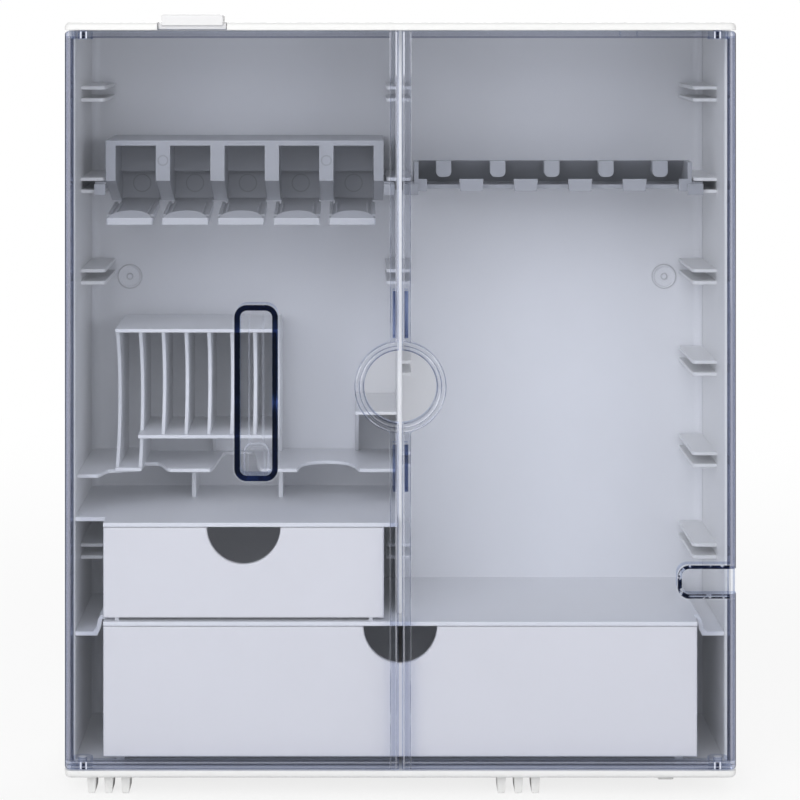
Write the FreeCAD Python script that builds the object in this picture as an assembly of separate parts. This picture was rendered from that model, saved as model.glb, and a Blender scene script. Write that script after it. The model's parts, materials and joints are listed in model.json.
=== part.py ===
"""Sewing accessory box: a shallow cabinet with two clear doors, two drawers and inner racks.

Millimetres. X is to the right, Y goes from the front to the back, Z is up.
The origin is under the middle of the box, at the height of the surface it stands on.
"""

import FreeCAD, Part
import math
import os

from FreeCAD import Vector

# Casing
width = 242.2
depth = 85.0
inner_height = 266.7
plate = 2.8
side_wall = 2.5
back_wall = 2.7
plate_edge_r = 1.8
rear_corner_r = 4.0
cove_r = 3.5
foot_height = 7.0
seat_gap = 0.3

# Doors and their hinges
door_wall = 2.0
door_gap = 0.35
door_corner_r = 2.6
door_edge_r = 0.7
door_outline_r = 1.6
door_return = 11.0
door_flange_depth = 8.6
door_meeting_gap = 1.2
meeting_band = 3.1
meeting_band_depth = 4.2
meeting_band_corner_r = 2.5
meeting_band_edge_r = 0.4
tongue_inset = 0.7
tongue_wall = 1.5
tongue_length = 17.0
tongue_depth = 9.0
tongue_above_hole = 26.1
tongue_below_hole = 29.2
hinge_inset = 6.0
hinge_setback = 7.0
hinge_pin_r = 1.5
hinge_pin_socket = 1.9
hinge_ear_r = 3.7
hinge_ear_wall = 3.0
running_gap = 0.05
swing_gap = 0.4

# Finger hole shared by both doors, pull pocket on the left door, side notch on the right door
finger_hole_r = 13.1
finger_band = 3.4
finger_bevel = 0.8
finger_hole_height = 138.2
pocket_width = 15.6
pocket_height = 63.4
pocket_corner_r = 4.5
pocket_wall = 2.0
pocket_depth = 9.0
pocket_floor = 1.6
pocket_from_middle = 52.0
pocket_height_above_floor = 136.0
notch_length = 21.2
notch_height = 11.8
notch_wall = 1.4
notch_corner_r = 4.0
notch_depth = 5.0
notch_above_floor = 68.2
flange_cut_width = 6.2
flange_cut_from_side = 35.3

# Shelves and drawers
drawer_front_setback = 5.0
shelf_front_setback = 4.5
shelf_wall = 1.5
drawer_wall = 1.6
drawer_front_wall = 2.2
drawer_side_drop = 3.0
drawer_back_gap = 2.3
drawer_notch_r = 13.3
drawer_edge_r = 0.6
large_drawer_height = 47.2
small_drawer_height = 32.7
runner_height = 3.4
runner_width = 3.0
runner_inset = 4.0
small_runner_height = 1.0
shelf_step = 6.0
shelf_step_run = 3.4

# Divider and rails
divider_wall = 1.8
divider_setback = 18.0
rail_pairs = 6
left_rail_pairs = (0, 1, 2, 5)
rail_top_margin = 21.9
rail_bottom_margin = 21.6
rail_front = 36.0
rail_back_gap = 1.3
rail_wall = 1.25
rail_spacing = 4.5
side_rail_reach = 9.0
divider_rail_reach = 3.8
lug_gap = 0.25

# Racks that hang in the rails
rack_gap = 0.3
rack_inner_gap = 1.0
rack_pair = 1
rack_back_gap = 2.3
rack_lug_trim = 1.0
ear_reach = 4.1
ear_height = 4.1
ear_drop = 3.5
ear_wall = 1.5
rack_places = 5
rack_end_margin = 1.05

# Bobbin rack and its spring flaps
bobbin_rack_front = 35.0
bobbin_rack_above_lug = 16.75
bobbin_rack_below_lug = 7.55
bobbin_top_wall = 1.9
bobbin_window = 15.0
bobbin_pocket_depth = 25.5
bobbin_recess_depth = 32.0
bobbin_panel = 1.6
bobbin_recess_height = 11.4
post_slope_height = 9.3
post_slope_depth = 29.5
flap_wall = 1.6
flap_side_gap = 0.4
flap_root_gap = 0.5
flap_root_drop = 0.7
flap_wide_end = 15.0
flap_tip_setback = 12.4
flap_tip_drop = 3.7
flap_tip_width = 16.9
flap_tip_wall = 2.5
flap_tip_offset = 0.45
flap_tip_r = 0.7
flap_edge = 1.2
flap_edge_height = 0.7
flap_edge_start = 4.5
flap_pad_rise = 2.3

# Presser foot rack
foot_rack_front = 36.0
foot_rack_floor = 1.6
foot_rack_floor_drop = 1.65
foot_rack_floor_setback = 6.0
foot_lip_width = 9.0
foot_lip_foot = 8.2
foot_lip_height = 2.4
foot_lip_drop = 0.5
foot_lip_wall = 1.8
foot_end_wall = 1.6
foot_end_width = 4.8
foot_strip_setback = 47.0
foot_strip_wall = 1.6
foot_strip_height = 8.8
foot_strip_lean = 14.0
foot_peg_width = 5.7
foot_peg_height = 6.0
foot_peg_reach = 5.0

# Slotted bin
bin_slots = 7
bin_pitch = 8.5
bin_wall = 1.3
bin_from_rail = 4.3
bin_height = 52.7
bin_floor_height = 13.4
bin_front = 30.0
bin_back_gap = 4.3
bin_tall_hollow = 13.5
bin_short_hollow = 10.0
bin_rib_from_left = 34.0
bin_rib_depth = 18.0
bin_rib_foot = 3.0
bin_rib_wall = 1.2

# Scalloped tray under the bin: widths from the divider outwards, with the curves between them
tray_wall = 1.3
tray_rail_gap = 0.4
tray_pair = 4
tray_tongue_setback = 35.5
tray_side_setback = 23.0
tray_slot_setback = 33.5
tray_first_tongue = 13.3
tray_first_curve = 3.0
tray_first_bay = 19.4
tray_first_bay_strip = 28.3
tray_first_bay_hollow = 8.5
tray_first_end_curve = 1.6
tray_second_tongue = 12.8
tray_second_curve = 5.5
tray_second_bay = 9.5
tray_second_bay_strip = 6.8
tray_second_end_curve = 4.7
tray_third_tongue = 13.8
tray_third_curve = 7.1
tray_third_bay = 5.2
tray_third_bay_strip = 32.3
tray_slot_slope = 3.5
tray_side_curve = 4.2
tray_rib_wall = 1.6
tray_rib_depth = 25.0

# Small shelf over the tray, in the corner beside the divider
corner_shelf_width = 15.4
corner_shelf_height = 21.6
corner_shelf_wall = 1.2
corner_shelf_setback = 33.0
corner_gusset_wall = 1.4
corner_gusset_foot = 4.0

# Marks left on the inside of the back wall
mark_r = 4.7
mark_wall = 0.8
mark_height = 0.5
mark_centre_r = 1.2
mark_from_middle = 104.0
mark_above_floor = 170.0

# Clip on the top plate
clip_width = 22.1
clip_notch_gap = 1.5
clip_notch_depth = 10.0
clip_from_middle = 75.1
clip_height = 2.8
clip_depth = 16.0
clip_setback = 0.6
clip_drop = 1.1
clip_body_setback = 1.2
clip_body_drop = 2.5
clip_edge_r = 0.8

# Prongs and pad under the base plate
prong_count = 3
prong_pitch = 6.15
prong_top = 3.4
prong_tip = 2.5
prong_depth = 11.0
prong_setback = 6.5
left_prongs_from_side = 15.5
right_prongs_from_side = 78.3
pad_width = 5.7
pad_depth = 8.0
pad_height = 1.8
pad_setback = 5.0
pad_from_side = 25.1
pad_edge_r = 0.7

# Swivel feet under the rear edge
swivel_length = 48.0
swivel_width = 12.0
swivel_pin_r = 2.0
swivel_pin_head_r = 3.4
swivel_pin_head = 1.2
swivel_from_side = 14.0
swivel_from_back = 12.0
swivel_pin_lift = 1.0
swivel_tip_r = 6.0
swivel_grip_depth = 1.0
swivel_grip_count = 4
swivel_grip_pitch = 3.0
swivel_grip_width = 1.4

# Places that follow from the sizes above
half = width / 2
inner_half = half - side_wall
front = -depth / 2
back = depth / 2
base_bottom = foot_height
floor_z = base_bottom + plate
ceiling_z = floor_z + inner_height
top_z = ceiling_z + plate
back_inner = back - back_wall

hinge_x = half - hinge_inset
hinge_y = front + hinge_setback
door_swing_r = math.hypot(hinge_inset - door_corner_r, hinge_setback - door_corner_r) + door_corner_r
side_front = hinge_y + door_swing_r + swing_gap
return_swing_r = math.hypot(hinge_inset, door_return - hinge_setback)
drawer_half = hinge_x - return_swing_r - swing_gap

drawer_front = front + drawer_front_setback
shelf_front = front + shelf_front_setback
drawer_back = back_inner - drawer_back_gap
large_drawer_bottom = floor_z + runner_height + seat_gap
large_drawer_top = large_drawer_bottom + large_drawer_height
mid_shelf_bottom = large_drawer_top + seat_gap
mid_shelf_top = mid_shelf_bottom + shelf_wall
small_drawer_bottom = mid_shelf_top + small_runner_height + seat_gap
small_drawer_top = small_drawer_bottom + small_drawer_height
upper_shelf_bottom = small_drawer_top + seat_gap
upper_shelf_top = upper_shelf_bottom + shelf_wall
side_rail_x = inner_half - side_rail_reach
divider_half = divider_wall / 2
divider_rail_x = divider_half + divider_rail_reach
small_drawer_right = -divider_rail_x - rack_inner_gap - running_gap * 4

rail_pitch = (ceiling_z - rail_top_margin - mid_shelf_top - rail_bottom_margin) / (rail_pairs - 1)
rail_y = front + rail_front
rail_end = back_inner - rail_back_gap
rack_end = back_inner - rack_back_gap
lug_height = rail_spacing - rail_wall - 2 * lug_gap
rack_left = divider_rail_x + rack_inner_gap
rack_right = side_rail_x - rack_gap
rack_pitch = (rack_right - rack_left - 2 * rack_end_margin) / rack_places


def rail_z(pair):
    """Height of the upper rail's middle in a pair, counted from the top."""
    return ceiling_z - rail_top_margin - pair * rail_pitch


def slot_z(pair):
    """Height of the middle of the slot between the two rails of a pair."""
    return rail_z(pair) - rail_spacing / 2


def block(x0, x1, y0, y1, z0, z1):
    """A box between two corners, given in any order."""
    low = Vector(min(x0, x1), min(y0, y1), min(z0, z1))
    return Part.makeBox(abs(x1 - x0), abs(y1 - y0), abs(z1 - z0), low)


def upright(r, x, y, z0, z1):
    """A vertical cylinder."""
    return Part.makeCylinder(r, z1 - z0, Vector(x, y, z0), Vector(0, 0, 1))


def through(r, x, z, y0, y1):
    """A cylinder that runs from front to back."""
    return Part.makeCylinder(r, y1 - y0, Vector(x, y0, z), Vector(0, 1, 0))


def prism(points, direction):
    """A flat outline pushed along a direction."""
    corners = [Vector(*p) for p in points]
    outline = Part.makePolygon(corners + [corners[0]])
    return Part.Face(outline).extrude(direction)


def one(shapes):
    """Shapes joined into one solid, with the seams taken out."""
    whole = shapes[0].fuse(shapes[1:]) if len(shapes) > 1 else shapes[0]
    return whole.removeSplitter()


def mirror(shape):
    """The same shape on the other side of the middle plane."""
    return shape.mirror(Vector(0, 0, 0), Vector(1, 0, 0))


def edges_where(shape, test):
    """Edges whose box passes a test on (low, high)."""
    found = []
    for edge in shape.Edges:
        b = edge.BoundBox
        if test(Vector(b.XMin, b.YMin, b.ZMin), Vector(b.XMax, b.YMax, b.ZMax)):
            found.append(edge)
    return found


def is_upright(low, high):
    return high.z - low.z > 1e-3 and high.x - low.x < 1e-3 and high.y - low.y < 1e-3


def near(a, b):
    return abs(a - b) < 1e-3


def rounded_plate(z0, z1, outer_z):
    """A top or base plate: upright corners follow the doors and the back, outer rim softened."""
    shape = block(-half, half, front, back, z0, z1)
    fronts = edges_where(shape, lambda a, b: is_upright(a, b) and near(a.y, front))
    shape = shape.makeFillet(door_corner_r, fronts)
    backs = edges_where(shape, lambda a, b: is_upright(a, b) and near(a.y, back))
    shape = shape.makeFillet(rear_corner_r, backs)
    rim = edges_where(shape, lambda a, b: near(a.z, outer_z) and near(b.z, outer_z))
    return shape.makeFillet(min(plate_edge_r, plate * 0.7), rim)


def casing_top():
    shape = rounded_plate(ceiling_z, top_z, top_z)
    notch_half = clip_width / 2 + clip_notch_gap
    notch = block(
        -clip_from_middle - notch_half,
        -clip_from_middle + notch_half,
        front - 1,
        front + clip_notch_depth,
        ceiling_z - 1,
        top_z + 1,
    )
    shape = shape.cut(notch)
    for side in (-1, 1):
        shape = shape.cut(hinge_socket(side, ceiling_z, 1))
    return shape.removeSplitter()


def hinge_socket(side, z, way):
    """The blind hole that holds a hinge pin, going up or down from z."""
    z0 = z if way > 0 else z - hinge_pin_socket
    return upright(hinge_pin_r, side * hinge_x, hinge_y, z0, z0 + hinge_pin_socket)


def prongs(middle):
    """A row of tapered prongs under the base plate, down to the surface."""
    made = []
    for n in range(prong_count):
        x = middle + (n - (prong_count - 1) / 2) * prong_pitch
        y = front + prong_setback
        outline = [
            (x - prong_top / 2, y, base_bottom),
            (x + prong_top / 2, y, base_bottom),
            (x + prong_tip / 2, y, 0),
            (x - prong_tip / 2, y, 0),
        ]
        prong = prism(outline, Vector(0, prong_depth, 0))
        low = edges_where(prong, lambda a, b: near(b.z, 0) and near(a.x, b.x))
        prong = prong.makeFillet(0.5, low)
        made.append(prong)
    return made


def casing_base():
    shape = rounded_plate(base_bottom, floor_z, base_bottom)
    for side in (-1, 1):
        shape = shape.cut(hinge_socket(side, floor_z, -1))
        x = side * (drawer_half - runner_inset)
        shape = shape.fuse(
            block(x, x - side * runner_width, side_front, drawer_back, floor_z, floor_z + runner_height)
        )
        pin_x, pin_y = swivel_pin_place(side)
        shape = shape.cut(upright(swivel_pin_r, pin_x, pin_y, base_bottom - 1, floor_z - 0.6))
    return shape.removeSplitter()


def front_prongs(middle):
    """One foot: the prongs in a row, tied by a thin web against the base plate."""
    row = prongs(middle)
    reach = (prong_count - 1) / 2 * prong_pitch
    y = front + prong_setback
    web = block(middle - reach, middle + reach, y + 1, y + prong_depth - 1, base_bottom - 1.2, base_bottom)
    return one(row + [web])


def casing_side(side):
    """A side wall with its pairs of rails."""
    x0 = side * inner_half
    x1 = side * half
    wall = block(x0, x1, side_front, back_inner, floor_z, ceiling_z)
    edge = edges_where(wall, lambda a, b: is_upright(a, b) and near(a.y, side_front))
    shape = wall.makeFillet(side_wall * 0.35, edge)
    pairs = range(rail_pairs) if side > 0 else left_rail_pairs
    return one([shape] + rails(side * inner_half, side * side_rail_x, pairs)).cut(cove(side))


def rails(x0, x1, pairs):
    """Pairs of rails between two X places."""
    made = []
    for pair in pairs:
        for z in (rail_z(pair), rail_z(pair) - rail_spacing):
            ledge = block(x0, x1, rail_y, rail_end, z - rail_wall / 2, z + rail_wall / 2)
            tip = edges_where(
                ledge,
                lambda a, b: is_upright(a, b) and near(a.y, rail_y) and near(a.x, x1),
            )
            made.append(ledge.makeFillet(2.0, tip))
    return made


def cove(side):
    """The rounded filling of an inner rear corner."""
    x = side * inner_half
    strip = block(x, x - side * cove_r, back_inner - cove_r, back_inner, floor_z, ceiling_z)
    hollow = upright(cove_r, x - side * cove_r, back_inner - cove_r, floor_z - 1, ceiling_z + 1)
    return strip.cut(hollow)


def casing_back():
    """The back wall, with coves in its inner corners and round moulding marks."""
    shape = block(-half, half, back_inner, back, floor_z, ceiling_z)
    corners = edges_where(shape, lambda a, b: is_upright(a, b) and near(a.y, back))
    shape = shape.makeFillet(min(rear_corner_r, back_wall - 0.05), corners)
    for side in (-1, 1):
        shape = shape.fuse(cove(side))
        z = floor_z + mark_above_floor
        ring = through(mark_r, side * mark_from_middle, z, back_inner - mark_height, back_inner)
        ring = ring.cut(
            through(mark_r - mark_wall, side * mark_from_middle, z, back_inner - 1, back_inner)
        )
        dot = through(mark_centre_r, side * mark_from_middle, z, back_inner - mark_height, back_inner)
        shape = shape.fuse([ring, dot])
    return shape.removeSplitter()


def divider():
    """The upright wall in the middle, with rails on both faces."""
    wall = block(
        -divider_half, divider_half, front + divider_setback, back_inner, mid_shelf_top, ceiling_z
    )
    edge = edges_where(wall, lambda a, b: is_upright(a, b) and near(a.y, front + divider_setback))
    shape = wall.makeFillet(divider_wall * 0.3, edge)
    left = rails(-divider_half, -divider_rail_x, left_rail_pairs)
    right = rails(divider_half, divider_rail_x, range(rail_pairs))
    return one([shape] + left + right)


def mid_shelf():
    """The floor over the large drawer, stepped down beside it."""
    middle = block(-drawer_half, drawer_half, shelf_front, back_inner, mid_shelf_bottom, mid_shelf_top)
    pieces = [middle]
    for side in (-1, 1):
        pieces.append(shelf_side(side))
    for x in small_runner_places():
        pieces.append(
            block(
                x,
                x + runner_width / 2,
                drawer_front + 2,
                drawer_back,
                mid_shelf_top,
                mid_shelf_top + small_runner_height,
            )
        )
    return one(pieces).cut(cove(-1).fuse(cove(1)))


def small_runner_places():
    left = -drawer_half + runner_inset
    right = small_drawer_right - runner_inset - runner_width / 2
    return (left, right)


def shelf_side(side):
    """The stepped part of the shelf between the drawer and a side wall."""
    points = []
    x0 = drawer_half
    x1 = drawer_half + shelf_step_run
    outline = [
        (x0, mid_shelf_top),
        (x0 + shelf_step_run * 0.5, mid_shelf_top),
        (x0 + shelf_step_run * 0.85, mid_shelf_top - shelf_step * 0.25),
        (x1, mid_shelf_top - shelf_step * 0.75),
        (x1 + shelf_step_run * 0.35, mid_shelf_top - shelf_step),
        (inner_half, mid_shelf_top - shelf_step),
        (inner_half, mid_shelf_bottom - shelf_step),
        (x1 - shelf_step_run * 0.1, mid_shelf_bottom - shelf_step),
        (x1 - shelf_wall, mid_shelf_top - shelf_step * 0.75 - shelf_wall * 0.3),
        (x0 + shelf_step_run * 0.35, mid_shelf_bottom),
        (x0, mid_shelf_bottom),
    ]
    for x, z in outline:
        points.append((side * x, side_front, z))
    return prism(points, Vector(0, back_inner - side_front, 0))


def upper_shelf():
    """The roof of the small drawer, set back at the side for the door."""
    middle = block(
        -drawer_half, -divider_half, shelf_front, back_inner, upper_shelf_bottom, upper_shelf_top
    )
    # the divider's front edge is further back, so the shelf runs on to the middle in front of it
    side = block(
        -inner_half, -drawer_half, side_front, back_inner, upper_shelf_bottom, upper_shelf_top
    )
    return one([middle, side]).cut(cove(-1))


def drawer(x0, x1, z0, z1):
    """A drawer with a half-round finger notch in its front."""
    y0 = drawer_front
    y1 = drawer_back
    side_top = z1 - drawer_side_drop
    face = block(x0, x1, y0, y0 + drawer_front_wall, z0, z1)
    tub = block(x0, x1, y0, y1, z0, side_top)
    hollow = block(
        x0 + drawer_wall,
        x1 - drawer_wall,
        y0 + drawer_front_wall,
        y1 - drawer_wall,
        z0 + drawer_wall,
        z1 + 1,
    )
    shape = face.fuse(tub).removeSplitter().cut(hollow)
    lower = edges_where(shape, lambda a, b: is_upright(a, b) and near(a.y, y1))
    shape = shape.makeFillet(drawer_wall * 0.8, lower)
    inner = edges_where(
        shape,
        lambda a, b: is_upright(a, b)
        and a.x > x0 + drawer_wall / 2
        and b.x < x1 - drawer_wall / 2
        and near(a.y, y1 - drawer_wall),
    )
    shape = shape.makeFillet(2.5, inner)
    notch = through(drawer_notch_r, (x0 + x1) / 2, z1, y0 - 1, y0 + drawer_front_wall + 1)
    shape = shape.cut(notch)
    rim = edges_where(shape, lambda a, b: near(a.y, y0) and near(b.y, y0))
    return shape.makeFillet(drawer_edge_r, rim).removeSplitter()


def door(side):
    """A door shell; side is -1 for the left door and 1 for the right door."""
    inner_x = door_meeting_gap / 2
    z0 = floor_z + door_gap
    z1 = ceiling_z - door_gap
    shell = block(-half, -inner_x, front, front + door_return, z0, z1)
    outer = edges_where(shell, lambda a, b: is_upright(a, b) and near(a.x, -half) and near(a.y, front))
    shell = shell.makeFillet(door_corner_r, outer)
    rim = edges_where(shell, lambda a, b: near(a.y, front) and near(b.y, front))
    shell = shell.makeFillet(door_edge_r, rim)
    hollow = block(
        -half + door_wall,
        1,
        front + door_wall,
        front + door_return + 1,
        z0 + door_wall,
        z1 - door_wall,
    )
    corner = edges_where(
        hollow,
        lambda a, b: is_upright(a, b) and near(a.x, -half + door_wall) and near(a.y, front + door_wall),
    )
    hollow = hollow.makeFillet(max(door_corner_r - door_wall, 0.4), corner)
    shell = shell.cut(hollow)
    # the flanges at the top and bottom stop short of the return
    trim = block(
        -half + door_wall,
        0,
        front + door_flange_depth,
        front + door_return + 1,
        z0 - 1,
        z1 + 1,
    )
    shell = shell.cut(trim)
    pieces = [shell, meeting_edge(inner_x, z0, z1)]
    ears = ((z0, z0 + hinge_ear_wall), (z1 - hinge_ear_wall, z1))
    for low, high in ears:
        pieces.append(upright(hinge_ear_r, -hinge_x, hinge_y, low, high))
    shell = one(pieces)
    for low, high in ears:
        shell = shell.cut(upright(hinge_pin_r + running_gap, -hinge_x, hinge_y, low - 1, high + 1))
    outline = block(-half, 0, front - 1, front + door_return + 1, z0, z1)
    corners = edges_where(outline, lambda a, b: near(a.x, -half) and near(b.x, -half) and near(a.z, b.z))
    shell = shell.common(outline.makeFillet(door_outline_r, corners))
    hole_z = floor_z + finger_hole_height
    shell = shell.cut(through(finger_hole_r, 0, hole_z, front - 1, front + meeting_band_depth + 1))
    bevel = Part.makeCone(
        finger_hole_r + finger_bevel, finger_hole_r, finger_bevel, Vector(0, front, hole_z), Vector(0, 1, 0)
    )
    shell = shell.cut(bevel)
    if side < 0:
        return pull_pocket(shell).removeSplitter()
    shell = mirror(shell)
    return side_notch(shell, z1).removeSplitter()


def meeting_edge(inner_x, z0, z1):
    """The thick band along a door's free edge and round the finger hole, with its tongues."""
    z = floor_z + finger_hole_height
    ring_r = finger_hole_r + finger_band
    y0 = front + door_wall
    y1 = front + meeting_band_depth
    edge_x = -inner_x - meeting_band
    band = block(edge_x, -inner_x, y0, y1, z0 + door_wall, z1 - door_wall)
    ring = through(ring_r, 0, z, y0, y1)
    ring = ring.common(block(-ring_r * 2, -inner_x, y0 - 1, y1 + 1, z - ring_r * 2, z + ring_r * 2))
    shape = one([band, ring])
    inner = edges_where(
        shape,
        lambda a, b: near(b.x - a.x, 0) and near(b.z - a.z, 0) and near(a.x, edge_x) and z0 + door_wall + 1 < a.z < z1 - door_wall - 1,
    )
    shape = shape.makeFillet(meeting_band_corner_r, inner)
    rim = edges_where(
        shape,
        lambda a, b: near(a.y, y1) and near(b.y, y1) and b.x < -inner_x - 0.1 and b.z - a.z > 0.1,
    )
    shape = shape.makeFillet(meeting_band_edge_r, rim)
    pieces = [shape]
    for middle in (z + tongue_above_hole, z - tongue_below_hole):
        x = -inner_x - tongue_inset
        tongue = block(
            x - tongue_wall, x, y0, front + tongue_depth, middle - tongue_length / 2, middle + tongue_length / 2
        )
        tip = edges_where(tongue, lambda a, b: near(a.y, front + tongue_depth) and near(b.y, a.y) and near(a.z, b.z))
        pieces.append(tongue.makeFillet(1.2, tip))
    return one(pieces)


def rounded_slot(x, z, w, h, r, y0, y1):
    """An upright rectangle with round corners, from y0 to y1."""
    shape = block(x - w / 2, x + w / 2, y0, y1, z - h / 2, z + h / 2)
    corners = edges_where(shape, lambda a, b: near(a.x, b.x) and near(a.z, b.z))
    return shape.makeFillet(r, corners)


def pull_pocket(shell):
    """The tall pocket in the left door."""
    x = -pocket_from_middle
    z = floor_z + pocket_height_above_floor
    y1 = front + pocket_depth + pocket_floor
    cup = rounded_slot(x, z, pocket_width, pocket_height, pocket_corner_r, front + door_wall / 2, y1)
    hole = rounded_slot(
        x,
        z,
        pocket_width - 2 * pocket_wall,
        pocket_height - 2 * pocket_wall,
        pocket_corner_r - pocket_wall,
        front - 1,
        front + pocket_depth,
    )
    return shell.fuse(cup).cut(hole)


def side_notch(shell, z1):
    """The notch in the right door, open at the side of the box."""
    z = floor_z + notch_above_floor
    y1 = front + notch_depth + notch_wall
    cup = rounded_slot(half, z, 2 * notch_length, notch_height, notch_corner_r, front + door_wall / 2, y1)
    cup = cup.common(block(0, half - door_wall / 2, front, y1 + 1, z - notch_height, z + notch_height))
    hole = rounded_slot(
        half,
        z,
        2 * (notch_length - notch_wall),
        notch_height - 2 * notch_wall,
        notch_corner_r - notch_wall,
        front - 1,
        front + notch_depth,
    )
    shell = shell.fuse(cup).cut(hole)
    x = half - flange_cut_from_side
    gap = block(
        x - flange_cut_width,
        x,
        front + door_wall * 2,
        front + door_return + 1,
        z1 - door_wall - 0.001,
        z1 + 1,
    )
    return shell.cut(gap)


def hinge_pins(side):
    """The two pins of one door."""
    made = []
    reach = door_gap + hinge_ear_wall
    made.append(upright(hinge_pin_r, side * hinge_x, hinge_y, ceiling_z - reach, ceiling_z + hinge_pin_socket))
    made.append(upright(hinge_pin_r, side * hinge_x, hinge_y, floor_z - hinge_pin_socket, floor_z + reach))
    return Part.Compound(made)


def rack_lugs(z, y0, grip):
    """The tongues of a rack on the left side that slide in the rails, with their ears in front.

    Each ear reaches in over the rack's front by the grip.
    """
    made = []
    for x, way in ((-rack_right, -1), (-rack_left, 1)):
        x1 = x + way * ear_reach
        made.append(
            block(x, x1, rail_y + rack_lug_trim, rack_end - rack_lug_trim, z - lug_height / 2, z + lug_height / 2)
        )
        made.append(block(x - way * grip, x1, y0, y0 + ear_wall, z - ear_drop, z - ear_drop + ear_height))
        made.append(block(x, x1, y0, rail_y + rack_lug_trim, z - lug_height / 2, z - ear_drop + ear_height))
    return made


def place_x(n):
    """Middle of one of the places along a rack, counted from the divider."""
    return rack_left + rack_end_margin + (n + 0.5) * rack_pitch


def bobbin_rack():
    """Holder with a row of upright pockets, open to the front."""
    z = slot_z(rack_pair)
    z0 = z - bobbin_rack_below_lug
    z1 = z + bobbin_rack_above_lug
    y0 = front + bobbin_rack_front
    y1 = rack_end
    recess_y = y0 + bobbin_recess_depth
    solid = block(-rack_right, -rack_left, y0, y1, z0, z1)
    for n in range(rack_places):
        x0 = -place_x(n) - bobbin_window / 2
        x1 = x0 + bobbin_window
        solid = solid.cut(block(x0, x1, y0 - 1, y0 + bobbin_pocket_depth, z0 - 1, z1 - bobbin_top_wall))
        solid = solid.cut(block(x0, x1, y0 - 1, recess_y, z0 - 1, z0 + bobbin_recess_height))
    end = rack_end_margin + (rack_pitch - bobbin_window) / 2
    hollow = block(
        -rack_right + end,
        -rack_left - end,
        recess_y + bobbin_panel,
        y1 - bobbin_panel,
        z0 - 1,
        z1 - bobbin_top_wall,
    )
    solid = solid.cut(hollow)
    slope = [
        (-rack_right - 1, y0, z0 + post_slope_height),
        (-rack_right - 1, y0 + post_slope_depth, z0),
        (-rack_right - 1, y0 + post_slope_depth, z0 - 1),
        (-rack_right - 1, y0 - 1, z0 - 1),
        (-rack_right - 1, y0 - 1, z0 + post_slope_height),
    ]
    wedge = prism(slope, Vector(rack_right - rack_left + 2, 0, 0))
    solid = solid.cut(wedge)
    return one([solid] + rack_lugs(z, y0 - ear_wall, 0))


def flap_pivot():
    """Place of a flap's bending line in Y and Z."""
    z0 = slot_z(rack_pair) - bobbin_rack_below_lug
    y = front + bobbin_rack_front + bobbin_recess_depth - flap_root_gap - flap_wall / 2
    return (y, z0 + flap_wall / 2 - flap_root_drop)


def bobbin_flap(n):
    """A springy flap under one bobbin, with a thumb pad at its tip."""
    x = -place_x(rack_places - 1 - n)
    y_root, z_root = flap_pivot()
    y_tip = front + flap_tip_setback
    y_wide = front + bobbin_rack_front + flap_wide_end
    root_top = z_root + flap_wall / 2
    tip_top = root_top - flap_tip_drop
    slope = flap_tip_drop / (y_root - y_tip)
    wide_top = root_top - slope * (y_root - y_wide)
    narrow = bobbin_window / 2 - flap_side_gap
    wide = flap_tip_width / 2
    root = prism(
        [
            (x - narrow, y_root, root_top - flap_wall),
            (x - narrow, y_root, root_top),
            (x - narrow, y_wide, wide_top),
            (x - narrow, y_wide, wide_top - flap_wall),
        ],
        Vector(2 * narrow, 0, 0),
    )
    bead = Part.makeCylinder(flap_wall / 2, 2 * narrow, Vector(x - narrow, y_root, z_root), Vector(1, 0, 0))
    blade = prism(
        [
            (x - wide, y_wide, wide_top),
            (x - wide, y_tip, tip_top),
            (x - wide, y_tip, tip_top - flap_tip_wall),
            (x - wide, y_wide, wide_top - flap_wall),
        ],
        Vector(2 * wide, 0, 0),
    )
    blade.translate(Vector(-flap_tip_offset, 0, 0))
    x = x - flap_tip_offset
    tips = edges_where(blade, lambda a, b: near(a.y, y_tip) and near(b.y, y_tip) and near(a.x, b.x))
    blade = blade.makeFillet(flap_tip_r, tips)
    # the pad is a half disc whose top leans towards the front
    r = wide - flap_tip_r
    disc = upright(r, x, y_tip, tip_top - flap_wall / 2, tip_top + flap_pad_rise + 1)
    lean = prism(
        [
            (x - wide, y_tip, tip_top - flap_wall / 2),
            (x - wide, y_tip, tip_top),
            (x - wide, y_tip + r, tip_top + flap_pad_rise),
            (x - wide, y_tip + r, tip_top - flap_wall / 2),
        ],
        Vector(2 * wide, 0, 0),
    )
    pieces = [root, bead, blade, disc.common(lean)]
    edge_y = y_tip + flap_edge_start
    edge_z = tip_top + slope * flap_edge_start
    for side in (-1, 1):
        x0 = x + side * wide
        edge = [
            (x0, y_wide, wide_top - flap_wall / 2),
            (x0, edge_y, edge_z - flap_wall / 2),
            (x0, edge_y, edge_z),
            (x0, edge_y + flap_edge_height, edge_z + flap_edge_height),
            (x0, y_wide, wide_top + flap_edge_height),
        ]
        pieces.append(prism(edge, Vector(-side * flap_edge, 0, 0)))
        inner = [(px - side * 2 * flap_edge, py, pz) for px, py, pz in edge]
        pieces.append(prism(inner, Vector(-side * flap_edge / 2, 0, 0)))
    return one(pieces)


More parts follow.
